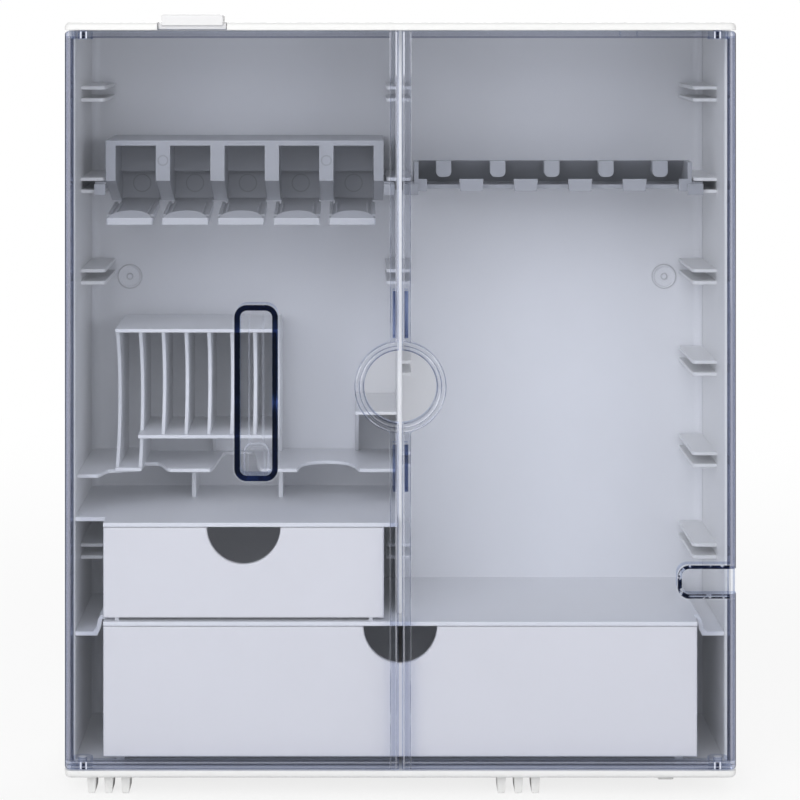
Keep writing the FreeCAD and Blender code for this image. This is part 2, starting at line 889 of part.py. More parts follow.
def presser_foot_rack():
    """Holder for presser feet: a floor, a back strip with pegs, and lips in front."""
    z = slot_z(rack_pair)
    top = z - foot_rack_floor_drop + foot_rack_floor
    bottom = z - foot_rack_floor_drop
    y0 = front + foot_rack_front
    y1 = rack_end
    floor_y = y0 + foot_rack_floor_setback
    pieces = [block(-rack_right, -rack_left, floor_y, y1, bottom, top)]
    strip_y = front + foot_strip_setback
    strip_top = top + foot_strip_height
    leaning = [
        (-rack_right, strip_y, strip_top),
        (-rack_right, strip_y + foot_strip_wall, strip_top),
        (-rack_right, strip_y + foot_strip_lean + foot_strip_wall, bottom),
        (-rack_right, strip_y + foot_strip_lean, bottom),
    ]
    pieces.append(prism(leaning, Vector(rack_right - rack_left, 0, 0)))
    for n in range(rack_places):
        x = -place_x(n)
        low = strip_top - foot_peg_height
        peg = block(
            x - foot_peg_width / 2,
            x + foot_peg_width / 2,
            strip_y - foot_peg_reach,
            strip_y + foot_strip_wall,
            low,
            strip_top,
        )
        lines = edges_where(peg, lambda a, b: near(a.x, b.x) and near(a.z, b.z) and near(a.z, low))
        pieces.append(peg.makeFillet(foot_peg_width * 0.35, lines))
    for n in range(rack_places - 1):
        x = -(place_x(n) + place_x(n + 1)) / 2
        outline = [
            (x - foot_lip_foot / 2, y0, bottom - foot_lip_drop),
            (x + foot_lip_foot / 2, y0, bottom - foot_lip_drop),
            (x + foot_lip_width / 2, y0, top + foot_lip_height),
            (x - foot_lip_width / 2, y0, top + foot_lip_height),
        ]
        pieces.append(prism(outline, Vector(0, foot_lip_wall, 0)))
        pieces.append(block(x - foot_lip_foot / 2, x + foot_lip_foot / 2, y0, floor_y, bottom, top))
    for x0, way in ((-rack_right, 1), (-rack_left, -1)):
        end = [
            (x0, y0, bottom),
            (x0, y0, strip_top),
            (x0, strip_y + foot_strip_wall, strip_top),
            (x0, strip_y + foot_strip_lean + foot_strip_wall, bottom),
        ]
        pieces.append(prism(end, Vector(way * foot_end_wall, 0, 0)))
        pieces.append(
            block(x0, x0 + way * foot_end_width, y0, y0 + foot_lip_wall, bottom - foot_lip_drop, top + foot_lip_height)
        )
        pieces.append(block(x0, x0 + way * foot_end_width, y0, floor_y, bottom, top))
    return mirror(one(pieces + rack_lugs(z, y0 - ear_wall, foot_end_wall)))


tray_top = rail_z(tray_pair) - rail_spacing - rail_wall / 2 - tray_rail_gap
tray_bottom = tray_top - tray_wall
bin_left = -side_rail_x + bin_from_rail
bin_right = bin_left + bin_slots * bin_pitch + bin_wall


def slotted_bin():
    """Row of narrow upright slots under a roof; the first one reaches down to the tray."""
    z_floor = tray_top + bin_floor_height
    z_top = tray_top + bin_height
    y0 = front + bin_front
    y1 = back_inner - bin_back_gap
    pieces = [block(bin_left, bin_right, y0, y1, z_top - bin_wall, z_top)]
    for n in range(bin_slots + 1):
        x = bin_left + n * bin_pitch
        if n < 2:
            pieces.append(bin_partition(x, tray_top, z_top, y0, y1, bin_tall_hollow))
        else:
            pieces.append(bin_partition(x, z_floor - bin_wall, z_top, y0, y1, bin_short_hollow))
    pieces.append(block(bin_left, bin_right, y1 - bin_wall, y1, tray_top, z_top))
    second = bin_left + bin_pitch
    pieces.append(block(second, bin_right, y0, y1, z_floor - bin_wall, z_floor))
    pieces.append(block(bin_left, second + bin_wall, y0, y1, tray_top, tray_top + bin_wall))
    rib_x = bin_left + bin_rib_from_left
    gusset = [
        (rib_x, y1, tray_top),
        (rib_x, y1, z_floor),
        (rib_x, y1 - bin_rib_depth, z_floor),
        (rib_x, y1 - bin_rib_depth, z_floor - bin_wall),
        (rib_x, y1 - bin_rib_foot, tray_top),
    ]
    pieces.append(prism(gusset, Vector(bin_rib_wall, 0, 0)))
    return one(pieces)


def bin_partition(x, z0, z1, y0, y1, hollow):
    """One upright wall of the bin, with a hollow front edge."""
    points = [Vector(x, y1, z0), Vector(x, y1, z1), Vector(x, y0, z1)]
    middle = Vector(x, y0 + hollow, (z0 + z1) / 2)
    arc = Part.Arc(points[2], middle, Vector(x, y0, z0)).toShape()
    lines = [
        Part.makeLine(Vector(x, y0, z0), points[0]),
        Part.makeLine(points[0], points[1]),
        Part.makeLine(points[1], points[2]),
    ]
    outline = Part.Wire(Part.__sortEdges__(lines + [arc]))
    return Part.Face(outline).extrude(Vector(bin_wall, 0, 0))


def s_curve(x0, y0, x1, y1, z):
    """A curve between two places of an edge, level at both ends."""
    middle = (x0 + x1) / 2
    curve = Part.BezierCurve()
    curve.setPoles([Vector(x0, y0, z), Vector(middle, y0, z), Vector(middle, y1, z), Vector(x1, y1, z)])
    return curve.toShape()


def tray_edge(z):
    """The tray's front edge from the divider to the side wall, as joined lines and curves."""
    tongue_y = front + tray_tongue_setback
    bay_y = back_inner - tray_first_bay_strip
    bay_side_y = bay_y - tray_first_bay_hollow
    x = -divider_half
    parts = []

    def line(to_x, from_y, to_y):
        nonlocal x
        parts.append(Part.makeLine(Vector(x, from_y, z), Vector(to_x, to_y, z)))
        x = to_x

    def bend(run, from_y, to_y):
        nonlocal x
        parts.append(s_curve(x, from_y, x - run, to_y, z))
        x = x - run

    line(x - tray_first_tongue, tongue_y, tongue_y)
    bend(tray_first_curve, tongue_y, bay_side_y)
    crown = Vector(x - tray_first_bay / 2, bay_y, z)
    far = Vector(x - tray_first_bay, bay_side_y, z)
    parts.append(Part.Arc(Vector(x, bay_side_y, z), crown, far).toShape())
    x = far.x
    bend(tray_first_end_curve, bay_side_y, tongue_y)
    line(x - tray_second_tongue, tongue_y, tongue_y)
    deep_y = back_inner - tray_second_bay_strip
    bend(tray_second_curve, tongue_y, deep_y)
    line(x - tray_second_bay, deep_y, deep_y)
    bend(tray_second_end_curve, deep_y, tongue_y)
    line(x - tray_third_tongue, tongue_y, tongue_y)
    third_y = back_inner - tray_third_bay_strip
    bend(tray_third_curve, tongue_y, third_y)
    line(x - tray_third_bay, third_y, third_y)
    slot_y = front + tray_slot_setback
    line(x, third_y, slot_y + tray_slot_slope)
    line(-side_rail_x + tray_side_curve / 2, slot_y + tray_slot_slope, slot_y)
    side_y = front + tray_side_setback
    bend(tray_side_curve, slot_y, side_y)
    line(-inner_half, side_y, side_y)
    return parts


def tongue_middles():
    """Middles of the second and third tongues of the tray."""
    second = -divider_half - tray_first_tongue - tray_first_curve - tray_first_bay - tray_first_end_curve
    third = second - tray_second_tongue - tray_second_curve - tray_second_bay - tray_second_end_curve
    return (second - tray_second_tongue / 2, third - tray_third_tongue / 2)


def corner_shelf():
    """The small shelf over the tray beside the divider, with the sloping gusset that carries it."""
    y0 = front + corner_shelf_setback
    y1 = back_inner - seat_gap
    top = tray_top + corner_shelf_height
    left = -divider_half - corner_shelf_width
    shelf = block(left, -divider_half, y0, y1, top - corner_shelf_wall, top)
    gusset = [
        (left, y0, top),
        (left, y0, top - corner_shelf_wall),
        (left, y1 - corner_gusset_foot, tray_top),
        (left, y1, tray_top),
        (left, y1, top),
    ]
    return [shelf, prism(gusset, Vector(corner_gusset_wall, 0, 0))]


def scalloped_tray():
    """The plate under the bin, with bays in its front edge, ribs below and a small shelf above."""
    parts = tray_edge(tray_bottom)
    last = parts[-1].Vertexes[-1].Point
    rear = back_inner - seat_gap
    corners = [
        Vector(-inner_half, last.y, tray_bottom),
        Vector(-inner_half, back_inner - cove_r - seat_gap, tray_bottom),
        Vector(-inner_half + cove_r, rear, tray_bottom),
        Vector(-divider_half, rear, tray_bottom),
        Vector(-divider_half, front + tray_tongue_setback, tray_bottom),
    ]
    for a, b in zip(corners, corners[1:]):
        parts.append(Part.makeLine(a, b))
    outline = Part.Wire(Part.__sortEdges__(parts))
    pieces = [Part.Face(outline).extrude(Vector(0, 0, tray_wall))]
    y0 = rear - tray_rib_depth
    for middle in tongue_middles():
        x = middle - tray_rib_wall / 2
        pieces.append(block(x, x + tray_rib_wall, y0, rear, upper_shelf_top, tray_bottom))
    return one(pieces + corner_shelf())


def top_clip():
    """The clip that stands up from the notch in the top plate."""
    x0 = -clip_from_middle - clip_width / 2
    x1 = -clip_from_middle + clip_width / 2
    y0 = front + clip_setback
    y1 = y0 + clip_depth
    step_y = front + clip_notch_depth - seat_gap
    z1 = top_z + clip_height
    tongue = block(x0, x1, y0, y1, top_z, z1)
    nose = block(x0, x1, y0, step_y, top_z - clip_drop, z1)
    shape = tongue.fuse(nose).removeSplitter()
    rim = edges_where(shape, lambda a, b: near(a.z, z1) and near(b.z, z1))
    shape = shape.makeFillet(clip_edge_r, rim)
    body = block(
        x0 - clip_notch_gap + seat_gap,
        x1 + clip_notch_gap - seat_gap,
        y0 + clip_body_setback,
        step_y,
        top_z - clip_body_drop,
        top_z - clip_drop + clip_edge_r,
    )
    return one([shape, body])


def base_pad():
    y0 = front + pad_setback
    x0 = half - pad_from_side - pad_width / 2
    shape = block(x0, x0 + pad_width, y0, y0 + pad_depth, base_bottom - pad_height, base_bottom)
    lower = edges_where(shape, lambda a, b: near(b.z, base_bottom - pad_height))
    return shape.makeFillet(pad_edge_r, lower)


def swivel_pin_place(side):
    return (side * (half - swivel_from_side), back - swivel_from_back)


def swivel_foot(side):
    """A rear foot, folded under the base; it turns out to the back on its pin."""
    x, y = swivel_pin_place(-1)
    z1 = base_bottom - seat_gap
    w = swivel_width / 2
    bar = block(x, x + swivel_length - w, y - w, y + w, 0, z1)
    heel = upright(w, x, y, 0, z1)
    toe = upright(min(swivel_tip_r, w), x + swivel_length - w, y, 0, z1)
    shape = one([bar, heel, toe])
    lower = edges_where(shape, lambda a, b: near(a.z, 0) and near(b.z, 0))
    shape = shape.makeFillet(0.5, lower)
    shape = shape.cut(upright(swivel_pin_r + running_gap, x, y, -1, z1 + 1))
    head_z = swivel_pin_lift + swivel_pin_head + seat_gap
    shape = shape.cut(upright(swivel_pin_head_r + seat_gap, x, y, -1, head_z))
    for n in range(swivel_grip_count):
        gx = x + swivel_length - w - n * swivel_grip_pitch
        shape = shape.cut(
            block(gx, gx + swivel_grip_width, y - w - 1, y - w + swivel_grip_depth, -1, z1 + 1)
        )
    return shape if side < 0 else mirror(shape)


def swivel_pins():
    """The headed pins that the rear feet turn on."""
    made = []
    for side in (-1, 1):
        x, y = swivel_pin_place(side)
        shank = upright(swivel_pin_r, x, y, swivel_pin_lift, floor_z - 0.6)
        head = upright(swivel_pin_head_r, x, y, swivel_pin_lift, swivel_pin_lift + swivel_pin_head)
        made.append(one([shank, head]))
    return Part.Compound(made)


nodes = {
    "casing_top": casing_top(),
    "casing_base": casing_base(),
    "casing_left_side": casing_side(-1),
    "casing_right_side": casing_side(1),
    "casing_back": casing_back(),
    "divider": divider(),
    "mid_shelf": mid_shelf(),
    "upper_shelf": upper_shelf(),
    "left_door": door(-1),
    "right_door": door(1),
    "left_hinge_pins": hinge_pins(-1),
    "right_hinge_pins": hinge_pins(1),
    "large_drawer": drawer(-drawer_half, drawer_half, large_drawer_bottom, large_drawer_top),
    "small_drawer": drawer(-drawer_half, small_drawer_right, small_drawer_bottom, small_drawer_top),
    "bobbin_rack": bobbin_rack(),
    "presser_foot_rack": presser_foot_rack(),
    "slotted_bin": slotted_bin(),
    "scalloped_tray": scalloped_tray(),
    "top_clip": top_clip(),
    "left_front_prongs": front_prongs(left_prongs_from_side - half),
    "right_front_prongs": front_prongs(half - right_prongs_from_side),
    "base_pad": base_pad(),
    "left_swivel_foot": swivel_foot(-1),
    "right_swivel_foot": swivel_foot(1),
    "swivel_foot_pins": swivel_pins(),
}
for number in range(rack_places):
    nodes["bobbin_flap_%d" % (number + 1)] = bobbin_flap(number)

os.makedirs("parts", exist_ok=True)
for name, shape in nodes.items():
    shape.exportStep("parts/%s.step" % name)
    box = shape.BoundBox
    print(
        "%-20s solids %d valid %s volume %.1f  x %.2f..%.2f y %.2f..%.2f z %.2f..%.2f"
        % (
            name,
            len(shape.Solids),
            shape.isValid(),
            shape.Volume,
            box.XMin,
            box.XMax,
            box.YMin,
            box.YMax,
            box.ZMin,
            box.ZMax,
        )
    )
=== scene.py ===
import bpy
import json
import numpy as np
from mathutils import Matrix, Vector

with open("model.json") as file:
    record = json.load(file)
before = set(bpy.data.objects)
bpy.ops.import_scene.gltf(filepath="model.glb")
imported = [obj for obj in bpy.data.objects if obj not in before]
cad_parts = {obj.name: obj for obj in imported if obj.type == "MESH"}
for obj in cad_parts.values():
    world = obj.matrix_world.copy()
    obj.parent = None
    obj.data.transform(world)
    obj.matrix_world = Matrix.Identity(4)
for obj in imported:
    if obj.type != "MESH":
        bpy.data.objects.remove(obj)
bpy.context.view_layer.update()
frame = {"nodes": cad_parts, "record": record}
nodes = frame["nodes"]
scene = bpy.context.scene

# the doors' outer face and half the casing's width at rest, in metres like all sizes below
door_front = -0.0425
half_width = 0.1211


def rgba(r, g, b):
    return (r, g, b, 1.0)


def scaled(colour, factor):
    """A colour made darker by a factor below one."""
    return rgba(*[v * factor for v in colour])


class ShaderTree:
    """A node tree that is written from the shader backwards."""

    def __init__(self, tree):
        self.tree = tree
        self.tree.nodes.clear()

    def add(self, kind, inputs=None, **settings):
        node = self.tree.nodes.new(kind)
        for key, value in settings.items():
            setattr(node, key, value)
        for key, value in (inputs or {}).items():
            self.plug(node.inputs[key], value)
        return node

    def plug(self, socket, value):
        if isinstance(value, bpy.types.NodeSocket):
            self.tree.links.new(value, socket)
        elif isinstance(value, bpy.types.Node):
            self.tree.links.new(value.outputs[0], socket)
        else:
            socket.default_value = value

    def math(self, operation, a, b=0.0, c=0.0):
        return self.add("ShaderNodeMath", {0: a, 1: b, 2: c}, operation=operation).outputs[0]

    def step(self, value, low, high, to_low=0.0, to_high=1.0):
        """A smooth step from low to high."""
        node = self.add(
            "ShaderNodeMapRange",
            {"Value": value, "From Min": low, "From Max": high, "To Min": to_low, "To Max": to_high},
            interpolation_type="SMOOTHSTEP",
        )
        return node.outputs[0]

    def blend(self, factor, a, b):
        """A colour between a and b."""
        node = self.add("ShaderNodeMix", data_type="RGBA")
        self.plug(node.inputs[0], factor)
        self.plug(node.inputs[6], a)
        self.plug(node.inputs[7], b)
        return node.outputs[2]

    def noise(self, where, scale, detail=2.0, rough=0.5):
        settings = {"Vector": where, "Scale": scale, "Detail": detail, "Roughness": rough}
        return self.add("ShaderNodeTexNoise", settings)

    def stretched_noise(self, where, scale, rough):
        """Noise whose scale differs along the three axes."""
        stretched = self.add("ShaderNodeMapping", {"Vector": where, "Scale": scale})
        return self.noise(stretched, 1.0, 3.0, rough)

    def split(self, vector):
        """The three parts of a vector."""
        return self.add("ShaderNodeSeparateXYZ", {0: vector}).outputs

    def distance(self, a, b):
        """The length of a step of a along one axis and b along the other."""
        squares = self.math("ADD", self.math("MULTIPLY", a, a), self.math("MULTIPLY", b, b))
        return self.math("SQRT", squares)

    def apart(self, value, centre):
        return self.math("ABSOLUTE", self.math("SUBTRACT", value, centre))

    def both(self, *masks):
        """Where all masks are one."""
        result = masks[0]
        for mask in masks[1:]:
            result = self.math("MULTIPLY", result, mask)
        return result

    def either(self, *masks):
        """Where any mask is one."""
        result = masks[0]
        for mask in masks[1:]:
            result = self.math("MAXIMUM", result, mask)
        return result

    def band(self, value, centre, half, soft=0.00012):
        """One where the value is within a band."""
        return self.step(self.apart(value, centre), half + soft, half - soft)

    def between(self, value, low, high, soft=0.00012):
        return self.band(value, (low + high) / 2, (high - low) / 2, soft)


class Paint(ShaderTree):
    """A material."""

    def __init__(self, name):
        self.material = bpy.data.materials.new(name)
        self.material.use_nodes = True
        super().__init__(self.material.node_tree)

    def place(self):
        """A point in the piece's own space."""
        return self.add("ShaderNodeTexCoord").outputs["Object"]

    def finish(self, shader):
        self.add("ShaderNodeOutputMaterial", {"Surface": shader})
        return self.material


def ring_mark(p, body, x, z, mark, colour):
    """The faint circle that a moulding pin leaves on an upright wall."""
    centre_x, centre_z, radius = mark
    line_edge = 0.00035
    line_core = 0.0001
    far = p.distance(p.math("SUBTRACT", x, centre_x), p.math("SUBTRACT", z, centre_z))
    ring = p.step(p.apart(far, radius), line_edge, line_core, 0.0, 0.75)
    return p.blend(ring, body, scaled(colour, 0.62))


def painted_channel_shade(p, body, x, y, up, pad, colour):
    """Painted shade behind a flap's half-round pad: faces that look up beyond the pad's edge are darker."""
    centre_x, centre_y, radius = pad
    soft_edge = 0.0002
    far = p.distance(p.math("SUBTRACT", x, centre_x), p.math("SUBTRACT", y, centre_y))
    shaded_channel = p.both(p.step(up, 0.5, 0.8), p.step(far, radius, radius + soft_edge))
    return p.blend(shaded_channel, body, scaled(colour, 0.68))


def moulded(name, colour, rough, drop=0.015, edge_wear_and_highlight=0.25, lift=1.06, below=None, marks=(), pad=None):
    """A satin moulding: fine grain, faint mottling, softened edges that are lighter in specks, partly wear
    and partly painted highlight.

    The mottling is darker than the colour by the drop, and the edges' wear and painted highlight are lighter
    by the lift.
    Faces that look down are darker by the factor below, where it is given: painted shade.
    """
    edge_radius = 0.0005
    grain_depth = 0.00012
    p = Paint(name)
    where = p.place()
    x, y, z = p.split(where)
    mottle = p.noise(where, 28.0, 4.0, 0.6)
    grain = p.noise(where, 900.0)
    specks = p.noise(where, 260.0, 3.0, 0.7)
    soft = p.add("ShaderNodeBevel", {"Radius": edge_radius}, samples=6)
    true = p.add("ShaderNodeNewGeometry").outputs["Normal"]
    up = p.split(true)[2]
    same = p.add("ShaderNodeVectorMath", {0: soft, 1: true}, operation="DOT_PRODUCT")
    rim = p.step(same.outputs["Value"], 1.0, 0.9)
    body = p.blend(p.step(mottle, 0.32, 0.68), rgba(*[v - drop for v in colour]), rgba(*colour))
    # painted shade: faces that look down are darker
    if below:
        body = p.blend(p.step(up, -0.55, -0.75), body, scaled(colour, below))
    # painted shade behind the flap's pad
    if pad:
        body = painted_channel_shade(p, body, x, y, up, pad, colour)
    for mark in marks:
        body = ring_mark(p, body, x, z, mark, colour)
    # edges lighter in specks: partly wear, partly painted highlight
    edge_wear_and_highlight_mask = p.both(rim, p.step(specks, 0.35, 0.65, 0.3 * edge_wear_and_highlight, edge_wear_and_highlight))
    body = p.blend(edge_wear_and_highlight_mask, body, rgba(*[min(1.0, v * lift + 0.01) for v in colour]))
    shine = p.step(mottle, 0.3, 0.7, rough - 0.05, rough + 0.06)
    shine = p.math("SUBTRACT", shine, p.math("MULTIPLY", edge_wear_and_highlight_mask, 0.2))
    bump = p.add(
        "ShaderNodeBump",
        {"Strength": 0.12, "Distance": grain_depth, "Height": grain, "Normal": soft},
    )
    shader = p.add(
        "ShaderNodeBsdfPrincipled",
        {"Base Color": body, "Roughness": shine, "Normal": bump, "IOR": 1.49, "Specular IOR Level": 0.45},
    )
    return p.finish(shader)


class ClearDoor(Paint):
    """Tinted clear plastic: darker along its edges, with painted dark bands at the rims and in the walls of
    the pulls.

    Side is -1 for the left door and 1 for the right one. The tint, with its painted dark bands and lines,
    and the painted pale reflections and highlights are built up feature by feature, on the door's outer
    face unless a feature says otherwise.
    """

    def __init__(self, name, side):
        super().__init__(name)
        self.side = side
        self.where = self.place()
        self.x, self.y, self.z = self.split(self.where)
        self.out_x = self.math("ABSOLUTE", self.x)
        facing = self.split(self.add("ShaderNodeTexCoord").outputs["Normal"])
        self.flat = self.step(self.math("ABSOLUTE", facing[1]), 0.35, 0.8)
        self.front = self.both(self.flat, self.depth_step(0.0017, 0.0009))
        self.streaks = self.stretched_noise(self.where, (400.0, 40.0, 16.0), 0.6)
        edge_tint = rgba(0.62, 0.66, 0.78)
        face_tint = rgba(0.938, 0.946, 0.970)
        self.colour = self.blend(self.flat, edge_tint, face_tint)
        # pale: where the painted highlights and reflections lie
        self.pale = 0.0
        self.low_faces(facing[2])
        self.side_return()
        self.flanges()
        self.meeting_edge()
        self.hinge_ears()
        self.pull()

    def depth_step(self, none, full):
        """A smooth step between two depths behind the outer face."""
        return self.step(self.y, door_front + none, door_front + full)

    def from_side(self, inner, outer, soft=0.00012):
        """A band between two distances in from the casing's side."""
        return self.between(self.out_x, half_width - inner, half_width - outer, soft)

    def tint(self, mask, colour):
        self.colour = self.blend(mask, self.colour, colour)

    def gleam(self, mask):
        self.pale = self.either(self.pale, mask)

    def low_faces(self, up):
        """Faces near the bottom that look up or down get a lighter tint than the other edge faces: painted
        light along the door's foot.
        """
        lying = self.step(self.math("ABSOLUTE", up), 0.5, 0.8)
        self.tint(self.both(lying, self.step(self.z, 0.03, 0.02)), rgba(0.88, 0.90, 0.96))

    def side_return(self):
        """The side return, seen end on through the front, and the rounded outer corner: painted dark bands
        and lines with painted highlights.
        """
        whole = (0.0035, -0.0004)
        inner_edge = (0.0035, 0.0027)
        outer_corner = (0.0006, -0.0009)
        outer_gleam = (0.0010, 0.0007)
        inner_gleam = (0.00255, 0.0023)
        bottom_line = (0.0033, -0.0005)
        bottom_height = 0.0124
        # painted dark bands across the return's end and the corner, with painted highlights beside them
        self.tint(self.both(self.front, self.from_side(*whole)), rgba(0.36, 0.37, 0.45))
        self.tint(self.both(self.front, self.from_side(*inner_edge, 0.0002)), rgba(0.22, 0.24, 0.31))
        corner = self.both(self.from_side(*outer_corner, 0.00015), self.depth_step(0.0023, 0.0016))
        self.tint(corner, rgba(0.05, 0.055, 0.085))
        outer = self.step(self.streaks, 0.3, 0.7, 0.10, 0.22)
        inner = self.step(self.streaks, 0.35, 0.65, 0.0, 0.12)
        self.gleam(self.both(self.from_side(*outer_gleam), outer))
        self.gleam(self.both(self.from_side(*inner_gleam, 0.0001), inner))
        line = self.both(self.band(self.z, bottom_height, 0.0002), self.from_side(*bottom_line))
        self.tint(self.both(self.front, line), rgba(0.03, 0.03, 0.06))

    def flanges(self):
        """The flanges along the top and bottom, as painted bands with their edges as painted lines, and
        painted highlights.
        """
        top_flange = (0.2744, 0.2770)
        top_line = (0.2737, 0.2743)
        top_gleam = (0.27445, 0.2746)
        bottom_flange = (0.0100, 0.0134)
        bottom_lines = {0.0134: 0.52, 0.0121: 0.44, 0.0104: 0.48}
        bottom_gleams = (0.0128, 0.0112)
        # painted bands, lines and highlights for the flanges
        self.tint(self.both(self.front, self.between(self.z, *top_flange)), rgba(0.66, 0.68, 0.76))
        self.tint(self.both(self.front, self.between(self.z, *top_line)), rgba(0.42, 0.44, 0.55))
        self.gleam(self.both(self.between(self.z, *top_gleam), 0.12))
        self.tint(self.both(self.front, self.between(self.z, *bottom_flange)), rgba(0.84, 0.86, 0.95))
        for height, light in bottom_lines.items():
            line = self.both(self.front, self.band(self.z, height, 0.00016, 0.0001))
            self.tint(line, rgba(light * 0.96, light * 0.98, light * 1.08))
        for height in bottom_gleams:
            self.gleam(self.both(self.band(self.z, height, 0.00022, 0.0002), 0.22))

    def meeting_edge(self):
        """The band along the free edge, the rings round the finger hole and the two tongues, as painted
        bands, painted dark lines and painted highlights.
        """
        hole_height = 0.148
        ring_start = (0.0159, 0.0163)
        ring_radii = {0.0164: 0.00014, 0.0148: 0.00014, 0.0133: 0.0002}
        ring_gleams = {0.0161: 0.00012, 0.0144: 0.00014}
        gap_edge = (0.0011, 0.0014)
        band_edge = (0.0037, 0.0035)
        outer_line = 0.0036
        inner_line = 0.0013
        outer_gleam = 0.0037
        inner_gleam = 0.00155 if self.side < 0 else 0.00125
        bright_from = (0.2590, 0.2610)
        tongue_width = (0.0013, 0.0028)
        upper_tongue = (0.1656, 0.1826)
        lower_tongue = (0.1103, 0.1273)

        far = self.distance(self.x, self.math("SUBTRACT", self.z, hole_height))
        outside = self.step(far, *ring_start)
        rings = self.either(*[self.band(far, r, half, 0.0001) for r, half in ring_radii.items()])
        rings = self.both(rings, self.step(self.out_x, *gap_edge))
        edges = self.either(
            self.band(self.out_x, outer_line, 0.00014, 0.0001),
            self.both(self.band(self.out_x, inner_line, 0.00013, 0.0001), 0.8),
        )
        meeting = self.both(self.front, outside, self.step(self.out_x, *band_edge))
        # painted band along the free edge, then painted dark lines
        self.tint(meeting, rgba(0.79, 0.81, 0.87))
        swirl = self.step(self.noise(self.where, 90.0), 0.35, 0.62)
        lines = self.both(self.front, self.either(rings, self.both(edges, outside)))
        self.tint(self.both(lines, self.math("MULTIPLY_ADD", swirl, 0.75, 0.25)), rgba(0.24, 0.28, 0.42))

        glow = self.either(*[self.band(far, r, half, 0.0001) for r, half in ring_gleams.items()])
        glow = self.both(glow, self.step(self.out_x, 0.0012, 0.0016))
        self.gleam(self.both(glow, self.step(swirl, 0.2, 1.0, 0.6, 0.12)))
        upper = self.step(self.z, *bright_from)
        streaked = self.step(self.streaks, 0.35, 0.65)
        strength = self.math("MULTIPLY_ADD", streaked, 0.25, self.math("MULTIPLY_ADD", upper, 0.40, 0.18))
        inner = self.both(self.band(self.out_x, inner_gleam, 0.00026, 0.00012), strength)
        outer = self.band(self.out_x, outer_gleam, 0.0003, 0.00015)
        outer = self.both(outer, self.math("MULTIPLY_ADD", upper, 0.15, 0.10))
        self.gleam(self.both(self.either(inner, outer), outside))

        # the tongues' ends painted blue, with painted streaks of light
        heights = self.either(self.between(self.z, *upper_tongue), self.between(self.z, *lower_tongue))
        blue = self.blend(self.step(self.streaks, 0.42, 0.58), rgba(0.07, 0.11, 0.26), rgba(0.36, 0.44, 0.70))
        self.tint(self.both(self.front, self.between(self.out_x, *tongue_width), heights), blue)

    def hinge_ears(self):
        """The ears round the hinge pins, painted darker, with the pin's hole as a painted dark band between
        two painted glints.
        """
        upper_ear = (0.2735, 0.2762)
        lower_ear = (0.0101, 0.0130)
        ear_span = (0.0103, 0.0023)
        hole_span = (0.0075, 0.0064)
        outer_glint = (0.00625, 0.0057)
        inner_glint = (0.0082, 0.0077)
        ear = self.either(self.between(self.z, *upper_ear), self.between(self.z, *lower_ear))
        self.tint(self.both(self.front, ear, self.from_side(*ear_span)), rgba(0.55, 0.59, 0.70))
        self.tint(self.both(self.front, ear, self.from_side(*hole_span)), rgba(0.02, 0.03, 0.08))
        glints = self.either(self.from_side(*outer_glint), self.from_side(*inner_glint))
        self.gleam(self.both(glints, ear, 0.8))

    def round_rectangle(self, centre, half, corner):
        """Distance to an upright rectangle with round corners, below zero inside it."""
        past_x = self.math("SUBTRACT", self.apart(self.x, centre[0]), half[0] - corner)
        past_z = self.math("SUBTRACT", self.apart(self.z, centre[1]), half[1] - corner)
        past = self.distance(self.math("MAXIMUM", past_x, 0.0), self.math("MAXIMUM", past_z, 0.0))
        return self.math("SUBTRACT", past, corner)

    def pull(self):
        """The wall of the pull, painted dark, with a painted bright line on either side of it."""
        outer_line = 0.0002
        inner_line = -0.0022
        if self.side < 0:
            outline = self.round_rectangle(centre=(-0.052, 0.1458), half=(0.0078, 0.0317), corner=0.0045)
            rim, wall = self.pocket_wall(outline)
        else:
            outline = self.round_rectangle(centre=(0.13, 0.0778), half=(0.0301, 0.0059), corner=0.0041)
            rim, wall = self.notch_wall(outline)
        self.rim = self.both(rim, self.front)
        self.tint(self.rim, wall)
        halo = self.either(
            self.band(outline, outer_line, 0.00012, 0.0001),
            self.band(outline, inner_line, 0.0001, 0.0001),
        )
        self.gleam(self.both(halo, 0.22))
        self.pale = self.both(self.pale, self.math("SUBTRACT", 1.0, self.rim), self.front)
        if self.side < 0:
            self.pocket_floor()

    def pocket_wall(self, outline):
        """Walls of the tall pocket painted navy, with painted blue reflections half way down, near the top
        and at the foot.
        """
        middle = 0.1425
        near_top = 0.168
        foot = (0.1135, 0.1165)
        rim = self.band(outline, -0.001, 0.00105, 0.0001)
        along = self.stretched_noise(self.where, (90.0, 90.0, 40.0), 0.65)
        flash = self.either(
            self.band(self.z, middle, 0.0015, 0.0035),
            self.both(self.band(self.z, near_top, 0.001, 0.004), 0.4),
            self.both(self.between(self.z, *foot, 0.001), 0.35),
        )
        flash = self.both(flash, self.step(along, 0.36, 0.6))
        return rim, self.blend(flash, rgba(0.006, 0.010, 0.035), rgba(0.10, 0.19, 0.60))

    def notch_wall(self, outline):
        """Walls of the notch at the side, painted dark, broken by painted glints and thin along the bottom.
        """
        side_end = (0.1187, 0.1183)
        bottom_start = (0.1035, 0.1045)
        bottom_upper = (0.0731, 0.0728)
        bottom_lower = (0.0723, 0.0726)
        glints = self.noise(self.where, 420.0)
        bottom = self.both(self.step(self.z, *bottom_upper), self.step(self.x, *bottom_start))
        thinned = self.math("SUBTRACT", 1.0, self.both(bottom, self.step(self.z, *bottom_lower)))
        rim = self.band(outline, -0.0007, 0.00078, 0.0001)
        rim = self.both(rim, self.step(self.x, *side_end), self.step(glints, 0.66, 0.58), thinned)
        lit = self.step(glints, 0.45, 0.6)
        return rim, self.blend(lit, rgba(0.010, 0.014, 0.035), rgba(0.05, 0.065, 0.13))

